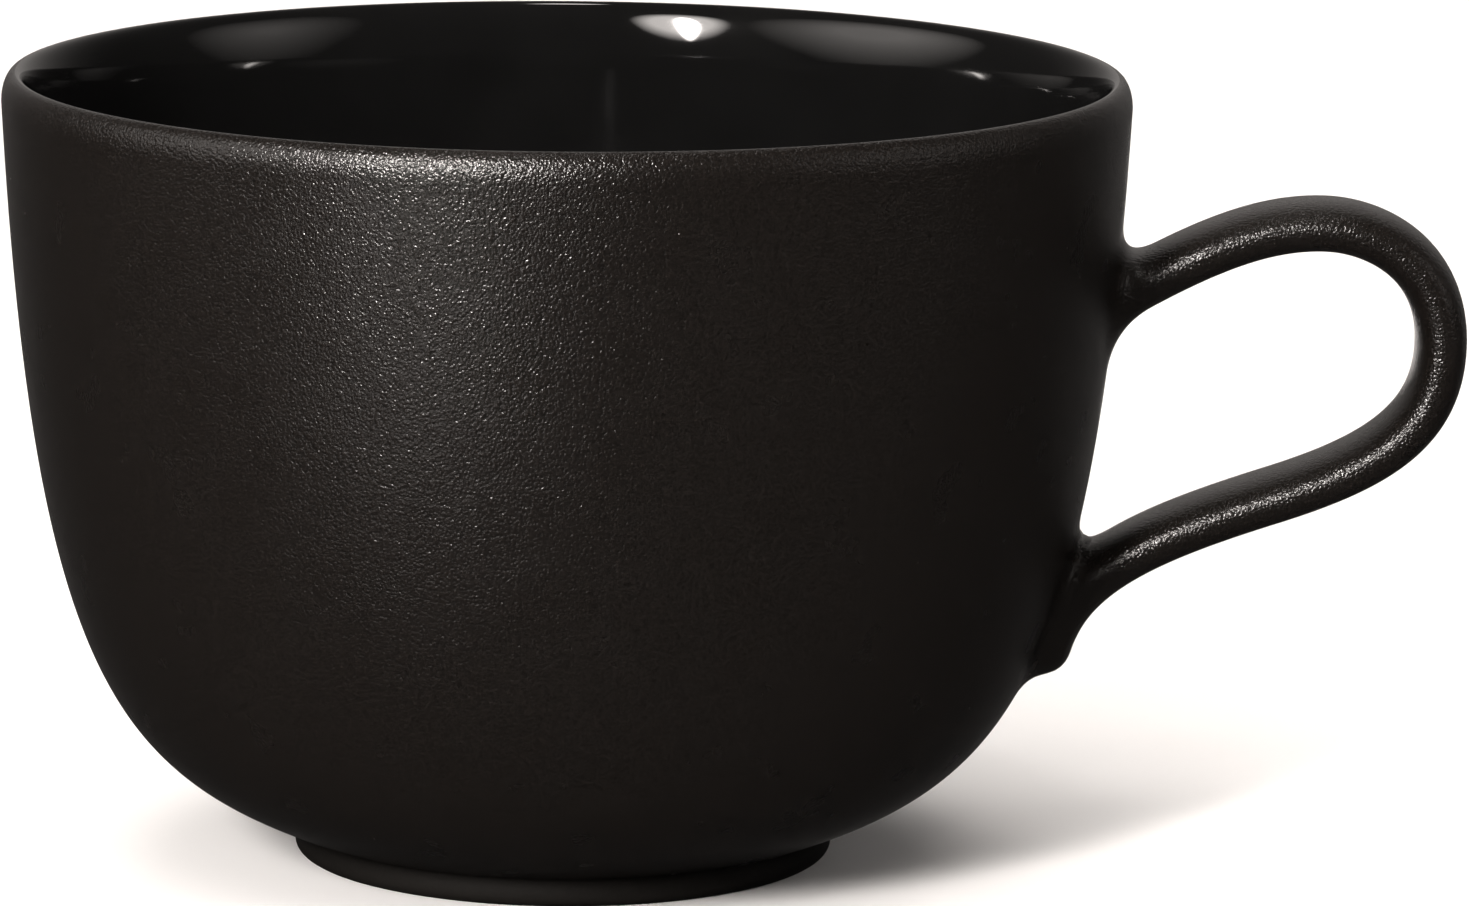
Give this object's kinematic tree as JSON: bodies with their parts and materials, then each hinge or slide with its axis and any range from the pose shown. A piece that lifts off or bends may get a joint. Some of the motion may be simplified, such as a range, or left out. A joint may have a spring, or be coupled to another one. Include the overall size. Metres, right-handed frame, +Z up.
{
  "type": "ceramic mug",
  "caption": "Wide round-bellied ceramic mug with a short foot ring and a looped strap handle, satin black outside and glossy black inside, for hot drinks or soup.",
  "frame": {"origin": "on the table plane, under the middle of the whole outline, handle included", "axes": "+X from the bowl's axis towards the handle, +Z up along the bowl's axis; the mug is symmetric about the plane y = 0"},
  "size_m": [0.1458, 0.1122, 0.0788],
  "materials": {
    "stoneware_clay": "bare fired stoneware, matte and slightly gritty, seen only under the foot ring",
    "satin_black_glaze": "satin black glaze with a fine orange-peel grain",
    "gloss_black_glaze": "glossy black liner glaze"
  },
  "bodies": {
    "root": {"clay_bowl": "stoneware_clay", "foot_ring": "stoneware_clay", "handle": "satin_black_glaze", "upper_handle_slip": "satin_black_glaze", "lower_handle_slip": "satin_black_glaze", "inner_gloss_glaze": "gloss_black_glaze", "outer_satin_glaze": "satin_black_glaze"}
  },
  "joints": []
}
